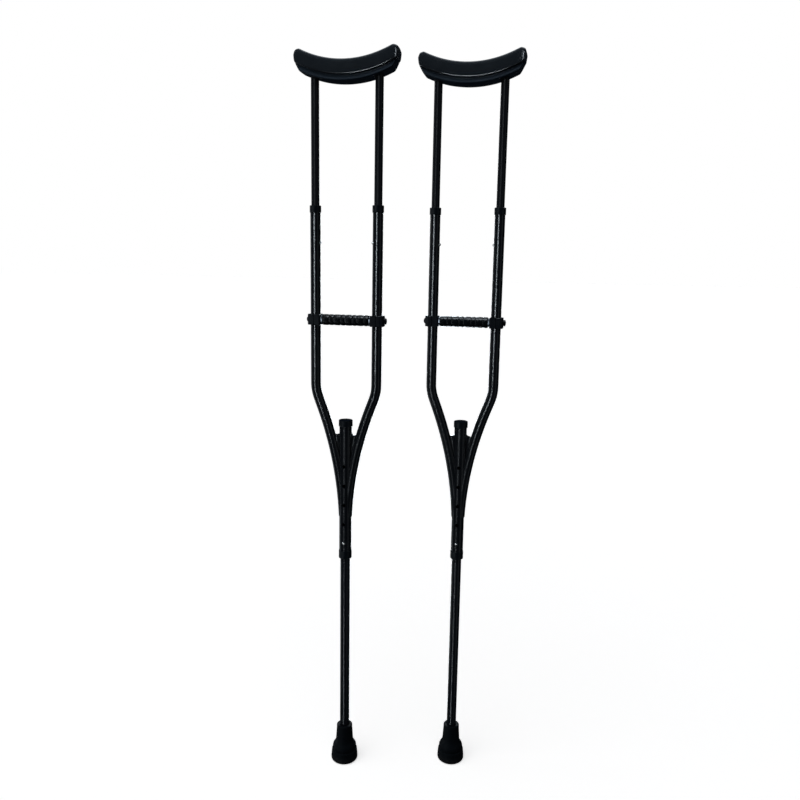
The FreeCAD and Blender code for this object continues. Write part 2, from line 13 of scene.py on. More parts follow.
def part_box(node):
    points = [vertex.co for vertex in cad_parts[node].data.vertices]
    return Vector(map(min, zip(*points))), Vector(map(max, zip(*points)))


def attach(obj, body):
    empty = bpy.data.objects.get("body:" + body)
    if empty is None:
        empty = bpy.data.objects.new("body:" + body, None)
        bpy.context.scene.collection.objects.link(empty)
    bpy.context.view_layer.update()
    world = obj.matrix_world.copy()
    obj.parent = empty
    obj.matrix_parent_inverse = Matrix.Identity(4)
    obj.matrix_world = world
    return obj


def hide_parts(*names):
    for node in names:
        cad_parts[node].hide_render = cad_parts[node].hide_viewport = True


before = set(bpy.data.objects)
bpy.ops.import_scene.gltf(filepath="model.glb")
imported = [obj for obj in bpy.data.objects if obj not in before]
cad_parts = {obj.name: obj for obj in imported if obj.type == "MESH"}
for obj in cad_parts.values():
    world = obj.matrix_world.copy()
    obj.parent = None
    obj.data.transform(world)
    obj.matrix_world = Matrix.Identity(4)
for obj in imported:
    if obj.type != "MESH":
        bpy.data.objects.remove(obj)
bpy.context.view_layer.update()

SIDES = ("left", "right")
MM = 0.001

# Camera
CAMERA_PLACE = Vector((0.297, -1.369, 1.014))
CAMERA_TURN = 12.54
CAMERA_DROP = 10.16
CAMERA_ROLL = 0.97
CAMERA_LENS = 33.3

# Light colours
COOL = (0.84, 0.93, 1.0)
WHITE = (1.0, 1.0, 1.0)

# The key strip stands a little left of the front; its highlight runs down every tube.
# It is in three lengths. The middle one, between the two cuts, is dim: the tubes darken at the fork.
KEY_AZIMUTH = -15.5
KEY_UPPER_CUT = 0.465
KEY_LOWER_CUT = -0.57
STRIP_DISTANCE = 2.3
PANEL_DISTANCE = 2.4
PAIR_MIDDLE = (0.0, 0.0, 0.70)
PADS_MIDDLE = (0.0, 0.0, 1.37)

# Underarm pad's side outline: what the frame's boxes don't say, in from its ends and down from its crests
PAD_TOP_SAG = 20.6 * MM
PAD_HORN = 10.5 * MM
PAD_HORN_TIP = (2.8 * MM, 1.8 * MM)
PAD_SHOULDER = (0.0, 10.0 * MM)
PAD_HIP = (2.5 * MM, 23.6 * MM)
PAD_HEEL = (8.5 * MM, 34.1 * MM)
PAD_BULGE = (12.0 * MM, 39.6 * MM)
PAD_TOE = (20.5 * MM, 43.1 * MM)
PAD_STATIONS = 160
PAD_END_POWER = 8.0
PAD_OUTLINE_STEP = 0.8 * MM
PAD_OUTLINE_ROUNDS = 8

# Underarm pad's cross-sections: the cushion's lip and upper edge, then the base's corners and waist
LIP_CORNER = 2.2 * MM
CUSHION_CORNER = 7.0 * MM
CUSHION_CROWN = 0.9 * MM
BASE_LOW_CORNER = 3.5 * MM
BASE_HIGH_CORNER = 2.0 * MM
BASE_CROWN = 0.5 * MM
BASE_WAIST = 4.5 * MM
BASE_PROUD = 0.8 * MM
BASE_TUCK = 4.0 * MM

# Handgrip ribs, in pairs of a wide and a narrow one
RIB_PAIRS = 4
WIDE_RIB = 12.6 * MM
NARROW_RIB = 7.6 * MM
RIB_VALLEY = 1.15 * MM
WIDE_CROWN = 0.30 * MM
NARROW_CROWN = 0.20 * MM
VALLEY_DEPTH = 0.30 * MM
RIB_STEPS = 14
VALLEY_STEPS = 5
GRIP_END_ROUND = 1.2 * MM
GRIP_AROUND = 96

# Rubber ferrule: radius of its mouth, the tread grooves under it and its moulding seam
FERRULE_MOUTH = 15.7 * MM
TREAD_GROOVES = (9 * MM, 14 * MM, 19 * MM)
GROOVE_DEPTH = 2.3 * MM
SEAM_HEIGHT = 0.22 * MM
SEAM_WIDTH = 0.55 * MM
FERRULE_AROUND = 192


# ---------------------------------------------------------------- materials

class Paint:
    """One procedural material: a Principled shader and the nodes that feed it."""

    def __init__(self, name, **sockets):
        self.material = bpy.data.materials.new(name)
        self.material.use_nodes = True
        self.nodes = self.material.node_tree.nodes
        self.links = self.material.node_tree.links
        self.nodes.clear()
        self.shader = self.nodes.new("ShaderNodeBsdfPrincipled")
        output = self.nodes.new("ShaderNodeOutputMaterial")
        self.links.new(self.shader.outputs["BSDF"], output.inputs["Surface"])
        for socket, value in sockets.items():
            self.shader.inputs[socket.replace("_", " ").title().replace("Ior", "IOR")].default_value = value
        self.place = self.nodes.new("ShaderNodeTexCoord").outputs["Object"]

    def stretched(self, scale):
        """Object coordinates scaled apart along X, Y and Z."""
        mapping = self.nodes.new("ShaderNodeMapping")
        mapping.inputs["Scale"].default_value = scale
        self.links.new(self.place, mapping.inputs["Vector"])
        return mapping.outputs["Vector"]

    def noise(self, scale, detail=2.0, rough=0.5, stretch=(1, 1, 1)):
        """A noise value from 0 to 1."""
        node = self.nodes.new("ShaderNodeTexNoise")
        node.inputs["Scale"].default_value = scale
        node.inputs["Detail"].default_value = detail
        node.inputs["Roughness"].default_value = rough
        self.links.new(self.stretched(stretch), node.inputs["Vector"])
        return node.outputs["Fac"]

    def cells(self, scale):
        """Distance to the nearest cell centre."""
        node = self.nodes.new("ShaderNodeTexVoronoi")
        node.inputs["Scale"].default_value = scale
        self.links.new(self.place, node.inputs["Vector"])
        return node.outputs["Distance"]

    def height(self):
        """Height above the floor."""
        node = self.nodes.new("ShaderNodeSeparateXYZ")
        self.links.new(self.place, node.inputs["Vector"])
        return node.outputs["Z"]

    def remap(self, value, low, high, to_low, to_high):
        """A value carried from one range to another, held at its ends."""
        node = self.nodes.new("ShaderNodeMapRange")
        ends = (("From Min", low), ("From Max", high), ("To Min", to_low), ("To Max", to_high))
        for name, number in ends:
            node.inputs[name].default_value = number
        self.links.new(value, node.inputs["Value"])
        return node.outputs["Result"]

    def maths(self, operation, a, b):
        """Two values, or a value and a number, combined."""
        node = self.nodes.new("ShaderNodeMath")
        node.operation = operation
        for socket, value in zip(node.inputs, (a, b)):
            if isinstance(value, (int, float)):
                socket.default_value = value
            else:
                self.links.new(value, socket)
        return node.outputs["Value"]

    def blend(self, factor, a, b):
        """Colour a where the factor is 0, b where it is 1."""
        node = self.nodes.new("ShaderNodeMix")
        node.data_type = "RGBA"
        self.links.new(factor, node.inputs["Factor"])
        for name, value in (("A", a), ("B", b)):
            socket = next(s for s in node.inputs if s.name == name and s.type == "RGBA")
            if isinstance(value, tuple):
                socket.default_value = (*value, 1.0)
            else:
                self.links.new(value, socket)
        return next(s for s in node.outputs if s.type == "RGBA")

    def colour(self, value):
        self.links.new(value, self.shader.inputs["Base Color"])

    def roughness(self, value):
        self.links.new(value, self.shader.inputs["Roughness"])

    def bumps(self, *layers):
        """Bump layers, each (height, depth in metres), one over the other."""
        normal = None
        for height, depth in layers:
            node = self.nodes.new("ShaderNodeBump")
            node.inputs["Distance"].default_value = depth
            self.links.new(height, node.inputs["Height"])
            if normal is not None:
                self.links.new(normal, node.inputs["Normal"])
            normal = node.outputs["Normal"]
        self.links.new(normal, self.shader.inputs["Normal"])


def powder_coat():
    """Gloss black powder coat: orange peel, fine specks and a little handling wear."""
    p = Paint("powder_coat", coat_weight=0.35, coat_roughness=0.13, specular_ior_level=0.5)
    specks = p.remap(p.noise(1500, 2.0, 0.6), 0.60, 0.72, 0.0, 1.0)
    tone = p.blend(p.noise(14, 3.0), (0.0034, 0.0046, 0.0066), (0.0062, 0.0076, 0.0100))
    p.colour(p.blend(specks, tone, (0.018, 0.020, 0.024)))
    smear = p.remap(p.noise(55, 4.0, 0.65, (1, 1, 0.2)), 0.3, 0.75, 0.17, 0.28)
    p.roughness(p.maths("ADD", smear, p.maths("MULTIPLY", specks, 0.12)))
    p.bumps((p.noise(420, 1.5, 0.4), 0.00022), (p.noise(1700, 2.0, 0.5), 0.00006))
    return p.material


def satin_coat():
    """The sliding tubes' finer satin coat, with faint rub lines along the tube."""
    p = Paint("satin_coat", specular_ior_level=0.5)
    rubs = p.remap(p.noise(1100, 2.0, 0.6, (1, 1, 0.006)), 0.62, 0.74, 0.0, 1.0)
    tone = p.blend(p.noise(18, 3.0), (0.0040, 0.0050, 0.0074), (0.0074, 0.0086, 0.0115))
    p.colour(p.blend(rubs, tone, (0.011, 0.012, 0.015)))
    smear = p.remap(p.noise(60, 4.0, 0.6, (1, 1, 0.15)), 0.3, 0.75, 0.32, 0.44)
    p.roughness(p.maths("SUBTRACT", smear, p.maths("MULTIPLY", rubs, 0.10)))
    p.bumps((p.noise(900, 2.0, 0.5), 0.00008), (rubs, 0.00002))
    return p.material


def fitting_plastic():
    """Moulded nylon fittings: bluish black, finely spark-eroded texture."""
    p = Paint("fitting_plastic", specular_ior_level=0.5)
    p.colour(p.blend(p.noise(40, 4.0), (0.0016, 0.0034, 0.0060), (0.0040, 0.0066, 0.0102)))
    p.roughness(p.remap(p.noise(120, 3.0), 0.3, 0.7, 0.36, 0.50))
    p.bumps((p.noise(1300, 3.0, 0.6), 0.00009), (p.noise(90, 2.0), 0.00012))
    return p.material


def core_plastic():
    """Plain dark plastic of the hidden grip core."""
    p = Paint("core_plastic", specular_ior_level=0.4)
    p.colour(p.blend(p.noise(60, 3.0), (0.010, 0.010, 0.011), (0.020, 0.020, 0.022)))
    p.roughness(p.remap(p.noise(150, 3.0), 0.3, 0.7, 0.45, 0.60))
    p.bumps((p.noise(900, 2.0), 0.00008))
    return p.material


def pad_skin():
    """Integral-skin foam of the pad: satin, slightly mottled, with a fine leathery grain."""
    p = Paint("pad_skin", specular_ior_level=0.5, sheen_weight=0.04, sheen_roughness=0.5)
    mottle = p.noise(38, 5.0, 0.6)
    p.colour(p.blend(mottle, (0.0150, 0.0210, 0.0280), (0.0240, 0.0315, 0.0400)))
    p.roughness(p.remap(p.noise(70, 5.0, 0.65), 0.3, 0.72, 0.16, 0.27))
    p.bumps((p.noise(26, 3.0, 0.5), 0.0005), (p.cells(850), 0.000018), (p.noise(2200, 2.0), 0.000008))
    return p.material


def pad_base():
    """The pad's rigid moulded base: smoother, bluish black."""
    p = Paint("pad_base", specular_ior_level=0.5)
    p.colour(p.blend(p.noise(30, 4.0, 0.55), (0.0170, 0.0290, 0.0440), (0.0270, 0.0430, 0.0620)))
    p.roughness(p.remap(p.noise(85, 4.0, 0.6), 0.3, 0.72, 0.34, 0.50))
    p.bumps((p.noise(40, 3.0), 0.0004), (p.noise(1500, 3.0, 0.6), 0.00007))
    return p.material


def grip_rubber():
    """Black grip rubber, polished by hands on its crowns."""
    p = Paint("grip_rubber", specular_ior_level=0.5)
    p.colour(p.blend(p.noise(50, 4.0), (0.0014, 0.0025, 0.0038), (0.0034, 0.0048, 0.0066)))
    p.roughness(p.remap(p.noise(110, 4.0, 0.6), 0.3, 0.72, 0.20, 0.34))
    p.bumps((p.noise(160, 2.0), 0.00022), (p.cells(1400), 0.00006))
    return p.material


def tip_rubber():
    """Matte ferrule rubber with a dusty foot."""
    p = Paint("tip_rubber", specular_ior_level=0.25)
    bloom = p.blend(p.noise(60, 5.0, 0.6), (0.0008, 0.0018, 0.0030), (0.0022, 0.0038, 0.0056))
    near_floor = p.remap(p.height(), 0.0, 0.016, 1.0, 0.0)
    dust = p.maths("MULTIPLY", near_floor, p.remap(p.noise(220, 4.0, 0.7), 0.40, 0.68, 0.0, 0.75))
    p.colour(p.blend(dust, bloom, (0.040, 0.038, 0.035)))
    p.roughness(p.remap(p.noise(90, 4.0), 0.3, 0.7, 0.55, 0.74))
    p.bumps((p.noise(130, 3.0), 0.00025), (p.noise(1200, 3.0, 0.6), 0.00010))
    return p.material


def black_fastener():
    """Black-oxide steel, rubbed lighter in places."""
    p = Paint("black_fastener", metallic=0.65, specular_ior_level=0.5)
    rub = p.remap(p.noise(500, 4.0, 0.7), 0.58, 0.75, 0.0, 1.0)
    p.colour(p.blend(rub, (0.010, 0.011, 0.014), (0.055, 0.057, 0.062)))
    p.roughness(p.remap(p.noise(300, 3.0), 0.3, 0.7, 0.30, 0.48))
    p.bumps((p.noise(900, 2.0), 0.00006))
    return p.material


def plain_steel():
    """Dull zinc-plated steel with turning marks."""
    p = Paint("plain_steel", metallic=1.0)
    p.colour(p.blend(p.noise(260, 4.0, 0.65), (0.24, 0.27, 0.31), (0.38, 0.42, 0.47)))
    p.roughness(p.remap(p.noise(420, 4.0, 0.6), 0.3, 0.7, 0.34, 0.52))
    p.bumps((p.noise(1600, 2.0, 0.5, (1, 0.08, 0.08)), 0.00004))
    return p.material


def bright_steel():
    """Polished nickel of the snap buttons."""
    p = Paint("bright_steel", metallic=1.0)
    p.colour(p.blend(p.noise(400, 3.0), (0.62, 0.63, 0.63), (0.78, 0.79, 0.78)))
    p.roughness(p.remap(p.noise(600, 3.0), 0.3, 0.7, 0.16, 0.30))
    p.bumps((p.noise(1500, 2.0), 0.00002))
    return p.material


MATERIALS = {
    "powder_coat": powder_coat(),
    "satin_coat": satin_coat(),
    "fitting_plastic": fitting_plastic(),
    "core_plastic": core_plastic(),
    "pad_skin": pad_skin(),
    "pad_base": pad_base(),
    "grip_rubber": grip_rubber(),
    "tip_rubber": tip_rubber(),
    "black_fastener": black_fastener(),
    "plain_steel": plain_steel(),
    "bright_steel": bright_steel(),
}

# Which finish each carried-over node gets
NODE_FINISH = {
    "powder_coat": ("fore_bow_tube", "aft_bow_tube", "centre_tube", "web_plates", "leg_tube"),
    "satin_coat": ("fore_upper_tube", "aft_upper_tube"),
    "fitting_plastic": (
        "top_cap", "foot_collar", "fore_collar", "aft_collar", "fore_inner_saddle",
        "aft_inner_saddle", "fore_outer_saddle", "aft_outer_saddle",
    ),
    "core_plastic": ("grip_core",),
    "black_fastener": ("grip_bolt", "grip_nut", "pad_screws"),
    "plain_steel": ("grip_washers", "tip_disc", "upper_snap_springs", "leg_snap_spring"),
    "bright_steel": ("fore_snap_button", "aft_snap_button", "leg_snap_button"),
}


def finish_nodes():
    """Give every carried-over node its material."""
    for finish, names in NODE_FINISH.items():
        for side in SIDES:
            for name in names:
                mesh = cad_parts[side + "_" + name].data
                mesh.materials.clear()
                mesh.materials.append(MATERIALS[finish])


# ---------------------------------------------------------------- meshes

def piece(name, points, faces, body, slot, stands_for):
    """A smooth mesh that rides on a body, with its slot's material."""
    mesh = bpy.data.meshes.new(name)
    mesh.from_pydata(points, [], faces)
    bm = bmesh.new()
    bm.from_mesh(mesh)
    bmesh.ops.remove_doubles(bm, verts=bm.verts, dist=1e-6)
    bmesh.ops.recalc_face_normals(bm, faces=bm.faces)
    bm.to_mesh(mesh)
    bm.free()
    mesh.shade_smooth()
    mesh.materials.append(MATERIALS[slot])
    obj = bpy.data.objects.new(name, mesh)
    bpy.context.scene.collection.objects.link(obj)
    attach(obj, body)
    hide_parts(stands_for)
    return obj


def ring_faces(rings, around, closed_along=False):
    """Quads joining rings of `around` points each."""
    faces = []
    for r in range(rings if closed_along else rings - 1):
        for k in range(around):
            after = (k + 1) % around
            low = r * around
            high = ((r + 1) % rings) * around
            faces.append((low + k, low + after, high + after, high + k))
    return faces


def arc(centre, radius, start, end, count):
    """Points on a circle between two angles in degrees, as (u, v)."""
    turn = [math.radians(start + (end - start) * n / count) for n in range(count + 1)]
    return [(centre[0] + radius * math.cos(t), centre[1] + radius * math.sin(t)) for t in turn]


def eased(t):
    """0 to 1 with level ends."""
    t = max(0.0, min(1.0, t))
    return t * t * (3 - 2 * t)


def resampled(points, spacing):
    """A closed outline cut into even steps."""
    loop = points + points[:1]
    lengths = [math.dist(a, b) for a, b in zip(loop, loop[1:])]
    count = round(sum(lengths) / spacing)
    step = sum(lengths) / count
    made, index, walked = [], 0, 0.0
    for n in range(count):
        target = n * step
        while walked + lengths[index] < target:
            walked += lengths[index]
            index += 1
        t = (target - walked) / lengths[index]
        a, b = loop[index], loop[index + 1]
        made.append((a[0] + (b[0] - a[0]) * t, a[1] + (b[1] - a[1]) * t))
    return made


def softened(points, rounds):
    """A closed outline with its corners eased."""
    for _ in range(rounds):
        count = len(points)
        points = [
            tuple((points[n - 1][i] + 2 * points[n][i] + points[(n + 1) % count][i]) / 4 for i in (0, 1))
            for n in range(count)
        ]
    return points


def span_at(outline, x):
    """Lowest and highest point of a closed outline at x."""
    heights = [
        za + (zb - za) * (x - xa) / (xb - xa)
        for (xa, za), (xb, zb) in zip(outline, outline[1:] + outline[:1]) if (xa <= x) != (xb <= x)
    ]
    return min(heights), max(heights)


def crowned_section(half_depth, low, high, low_corner, high_corner, crown, waist):
    """A rounded box section as (y, z), a little domed, its upper sides drawn in by the waist."""
    height = high - low
    low_r = min(low_corner, 0.45 * height, 0.9 * half_depth)
    high_r = min(high_corner, 0.45 * height, 0.9 * half_depth)
    dome = min(crown, 0.1 * height, 0.1 * half_depth)
    front = half_depth - dome
    loop = arc((front - low_r, low + low_r), low_r, -90, 0, 8)
    loop += [(front, low + low_r + (height - low_r - high_r) * n / 10) for n in range(1, 10)]
    loop += arc((front - high_r, high - dome - high_r), high_r, 0, 90, 8)
    other_half = [(-y, z) for y, z in reversed(loop)]
    across = [(front - high_r) * (1 - 2 * n / 12) for n in range(1, 12)]
    loop += [(y, high - dome) for y in across]
    loop += other_half
    loop += [(y * (front - low_r) / max(front - high_r, 1e-9), low) for y in reversed(across)]
    middle = (low + high) / 2
    domed = []
    for y, z in loop:
        up = 2 * (z - middle) / height
        out = y / max(front, 1e-9)
        rise = dome * (1 - out * out) if z > middle else 0.0
        drawn_in = min(waist, 0.3 * half_depth) * eased((z - low) / height * 1.6)
        domed.append((y + out * (dome * (1 - up * up) - drawn_in), z + rise))
    return domed


def lofted(outline, half_depth, low_corner, high_corner, crown, waist=0.0):
    """Points and faces of a body with this side outline, lofted end to end."""
    fore, aft = min(x for x, z in outline), max(x for x, z in outline)
    points = []
    for n in range(PAD_STATIONS + 1):
        along = math.sin(math.pi / 2 * (2 * n / PAD_STATIONS - 1)) * (1 - 1e-5)
        x = (fore + aft) / 2 + (aft - fore) / 2 * along
        low, high = span_at(outline, x)
        depth = half_depth * (1 - abs(along) ** PAD_END_POWER) ** (1 / PAD_END_POWER)
        section = crowned_section(depth, low, high, low_corner, high_corner, crown, waist)
        points += [(x, y, z) for y, z in section]
    around = len(section)
    faces = ring_faces(PAD_STATIONS + 1, around)
    faces.append(tuple(range(around)))
    faces.append(tuple(PAD_STATIONS * around + k for k in range(around)))
    return points, faces


# ---------------------------------------------------------------- underarm pad

class PadShape:
    """The pad's side outlines about its own middle, from the frame's boxes."""

    def __init__(self, side):
        self.low, self.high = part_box(side + "_underarm_pad")
        self.base_low, self.base_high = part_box(side + "_pad_saddle")
        self.middle = (self.low + self.high) / 2
        self.half = self.high.x - self.middle.x
        self.depth = self.high.y - self.middle.y
        self.base_depth = self.base_high.y - self.middle.y
        self.crest = self.high.z

    def corner(self, from_corner):
        """A point given by how far in from the aft end and down from the crest it lies."""
        return self.half - from_corner[0], self.crest - from_corner[1]

    def hollow(self, end, middle_z, steps=60):
        """An upward-curving arc from -end to end, through the middle height."""
        rise = end[1] - middle_z
        radius = (end[0] ** 2 + rise ** 2) / (2 * rise)
        across = [end[0] * (2 * n / steps - 1) for n in range(steps + 1)]
        return [(x, middle_z + radius - math.sqrt(radius ** 2 - x * x)) for x in across]

    def outline(self, end_points, top, under):
        """A closed outline: top arc, down the aft end, back along the underside, up the fore end."""
        fore = [(-x, z) for x, z in reversed(end_points)]
        loop = resampled(top + end_points + under[::-1] + fore, PAD_OUTLINE_STEP)
        return softened(loop, PAD_OUTLINE_ROUNDS)

    def cushion(self):
        """The soft part's side outline, down to its lip."""
        top = self.hollow((self.half - PAD_HORN, self.crest), self.crest - PAD_TOP_SAG)
        under = self.hollow(self.corner(PAD_HIP), self.low.z)
        ends = [self.corner(PAD_HORN_TIP), self.corner(PAD_SHOULDER)]
        return self.outline(ends, top, under)

    def base(self):
        """The rigid part's side outline, its top tucked a little way up inside the cushion."""
        hip_x, hip_z = self.corner(PAD_HIP)
        top = self.hollow((hip_x - BASE_TUCK, hip_z + 1.5 * BASE_TUCK), self.low.z + BASE_TUCK)
        ends = [
            (hip_x + 0.1 * BASE_TUCK, hip_z + BASE_TUCK), (hip_x, hip_z),
            self.corner(PAD_HEEL), self.corner(PAD_BULGE),
        ]
        under = self.hollow(self.corner(PAD_TOE), self.base_low.z)
        return self.outline(ends, top, under)


def pad_piece(side, shape, name, slot, points, faces, stands_for):
    """A part of the pad, put in place on the side's upper body."""
    there = [(x + shape.middle.x, y + shape.middle.y, z) for x, y, z in points]
    return piece(side + "_" + name, there, faces, side + "_upper", slot, side + "_" + stands_for)


def make_pad(side):
    """The cushion: crowned, with a crisp lip along its lower edge and soft upper edges."""
    shape = PadShape(side)
    points, faces = lofted(shape.cushion(), shape.depth, LIP_CORNER, CUSHION_CORNER, CUSHION_CROWN)
    pad = pad_piece(side, shape, "pad_cushion", "pad_skin", points, faces, "underarm_pad")


def make_pad_base(side):
    """The rigid base, its upper sides set back under the lip, its ends wrapping up."""
    shape = PadShape(side)
    half_depth = shape.base_depth + BASE_PROUD
    corners = (BASE_LOW_CORNER, BASE_HIGH_CORNER)
    points, faces = lofted(shape.base(), half_depth, *corners, BASE_CROWN, BASE_WAIST)
    pad_piece(side, shape, "pad_base", "pad_base", points, faces, "pad_saddle")


# ---------------------------------------------------------------- handgrip

def grip_profile(half, radius, hole):
    """The grip's outline from its middle axis, as (along, radius)."""
    edge = radius - 1.6 * MM
    inset = half - 1.4 * MM
    outline = [(-half, hole), (-half, edge)]
    outline += arc((-inset, edge), GRIP_END_ROUND, 180, 90, 6)
    pair = WIDE_RIB + NARROW_RIB + 2 * RIB_VALLEY
    start = -pair * RIB_PAIRS / 2
    for n in range(RIB_PAIRS):
        at = start + n * pair
        for width, crown in ((WIDE_RIB, WIDE_CROWN), (NARROW_RIB, NARROW_CROWN)):
            for k in range(RIB_STEPS + 1):
                t = 2 * k / RIB_STEPS - 1
                shoulder = abs(t) ** 8 * 0.15 * MM
                outline.append((at + width * k / RIB_STEPS, radius - crown * t * t - shoulder))
            at += width
            for k in range(1, VALLEY_STEPS):
                t = 2 * k / VALLEY_STEPS - 1
                dip = WIDE_CROWN + VALLEY_DEPTH * (1 - t * t)
                outline.append((at + RIB_VALLEY * k / VALLEY_STEPS, radius - dip))
            at += RIB_VALLEY
    outline += arc((inset, edge), GRIP_END_ROUND, 90, 0, 6)
    outline += [(half, edge), (half, hole)]
    return outline


def make_grip(side):
    """The rubber sleeve with its paired finger ribs."""
    low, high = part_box(side + "_handgrip")
    core_low, core_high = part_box(side + "_grip_core")
    middle = (low + high) / 2
    radius = (high.z - low.z) / 2
    hole = (core_high.z - core_low.z) / 2
    profile = grip_profile((high.x - low.x) / 2, radius, hole)
    points = []
    for along, out in profile:
        for k in range(GRIP_AROUND):
            turn = 2 * math.pi * k / GRIP_AROUND
            y = middle.y + out * math.sin(turn)
            z = middle.z + out * math.cos(turn)
            points.append((middle.x + along, y, z))
    faces = ring_faces(len(profile), GRIP_AROUND, closed_along=True)
    piece(side + "_grip_sleeve", points, faces, side + "_frame", "grip_rubber", side + "_handgrip")


# ---------------------------------------------------------------- ferrule

def ferrule_profile(base, top, hole, floor):
    """The ferrule's outline from under the leg round its outside, as (radius, height)."""
    tread = []
    for groove in TREAD_GROOVES:
        tread += [(groove - 1.5 * MM, 0.0), (groove - 1.2 * MM, GROOVE_DEPTH),
                  (groove + 1.2 * MM, GROOVE_DEPTH), (groove + 1.5 * MM, 0.0)]
    outline = [(0.0005, floor), (0.0005, 0.0)] + tread
    outline += arc((base - 4.2 * MM, 4.2 * MM), 4.2 * MM, 270, 360, 10)
    outline += [(base, 8 * MM), (base - 0.35 * MM, 12 * MM), (base - 0.8 * MM, 17 * MM),
                (base - 1.2 * MM, 21 * MM)]
    outline += arc((base - 2.2 * MM, 21.4 * MM), 1.0 * MM, 10, 85, 5)
    outline += [(base - 2.6 * MM, 22.6 * MM), (base - 3.7 * MM, 23.0 * MM), (base - 3.8 * MM, 23.8 * MM),
                (base - 3.1 * MM, 24.4 * MM), (base - 2.9 * MM, 25.4 * MM), (base - 2.9 * MM, 28 * MM)]
    outline += arc((base - 16.2 * MM, 28.0 * MM), 13.3 * MM, 3, 44, 12)
    outline += [(18.9 * MM, 40.6 * MM), (18.1 * MM, 43.0 * MM), (17.6 * MM, 46.0 * MM),
                (17.2 * MM, 52 * MM), (16.6 * MM, 62 * MM), (16.0 * MM, 71 * MM)]
    outline += arc((top - 2.2 * MM, 75.4 * MM), 2.5 * MM, 10, 90, 8)
    outline += [(hole + 0.9 * MM, 77.9 * MM), (hole + 0.1 * MM, 77.2 * MM),
                (hole, 76 * MM), (hole, floor)]
    return outline


def make_ferrule(side):
    """The stepped rubber tip, with its moulding seam."""
    low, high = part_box(side + "_rubber_tip")
    leg_low, leg_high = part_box(side + "_leg_tube")
    middle = (low + high) / 2
    base = (high.x - low.x) / 2
    hole = (leg_high.x - leg_low.x) / 2
    profile = ferrule_profile(base, FERRULE_MOUTH, hole, leg_low.z)
    points = []
    for out, height in profile:
        has_seam = hole + 3 * MM < out < base - 0.3 * MM and height > 3 * MM
        seam = SEAM_HEIGHT if has_seam else 0.0
        for k in range(FERRULE_AROUND):
            turn = 2 * math.pi * k / FERRULE_AROUND
            off_seam = abs(math.sin(turn)) * out / SEAM_WIDTH
            reach = out + seam * math.exp(-off_seam ** 2)
            x = middle.x + reach * math.cos(turn)
            y = middle.y + reach * math.sin(turn)
            points.append((x, y, height))
    faces = ring_faces(len(profile), FERRULE_AROUND, closed_along=True)
    piece(side + "_ferrule", points, faces, side + "_leg", "tip_rubber", side + "_rubber_tip")


# ---------------------------------------------------------------- stage, light, camera

def panel_light(name, place, aim, width, height, radiance, colour=COOL):
    """A soft rectangular light of an even radiance, seen only in reflections."""
    data = bpy.data.lights.new(name, "AREA")
    data.shape = "RECTANGLE"
    data.size = width
    data.size_y = height
    data.energy = radiance * math.pi * width * height
    data.color = colour
    obj = bpy.data.objects.new(name, data)
    bpy.context.scene.collection.objects.link(obj)
    obj.location = place
    obj.rotation_euler = (Vector(aim) - Vector(place)).to_track_quat("-Z", "Y").to_euler()
    obj.visible_camera = False
    obj.visible_diffuse = False
    return obj


def around_pair(azimuth, distance, height):
    """A place round the crutches; azimuth 0 is in front and positive angles go towards +X."""
    turn = math.radians(azimuth)
    return distance * math.sin(turn), -distance * math.cos(turn), height


def upright_strip(name, azimuth, low, high, width, radiance):
    """A tall narrow light between two heights, facing the middle of the pair."""
    middle = (low + high) / 2
    place = around_pair(azimuth, STRIP_DISTANCE, middle)
    return panel_light(name, place, (0.0, 0.0, middle), width, high - low, radiance)


def even_fill(name, turn, energy):
    """A sun too wide to give hard shadows or reflections."""
    sun = bpy.data.lights.new(name, "SUN")
    sun.energy = energy
    sun.angle = math.radians(60)
    obj = bpy.data.objects.new(name, sun)
    bpy.context.scene.collection.objects.link(obj)
    obj.rotation_euler = turn
    obj.visible_glossy = False
    return obj


def falls_on(light, pieces):
    """Keep a light to some pieces, as flags do in a studio."""
    group = bpy.data.collections.new(light.name + "_receivers")
    for obj in pieces:
        group.objects.link(obj)
    light.light_linking.receiver_collection = group


def both(*names):
    """The named nodes or pieces of both crutches."""
    return [bpy.data.objects[side + "_" + name] for side in SIDES for name in names]


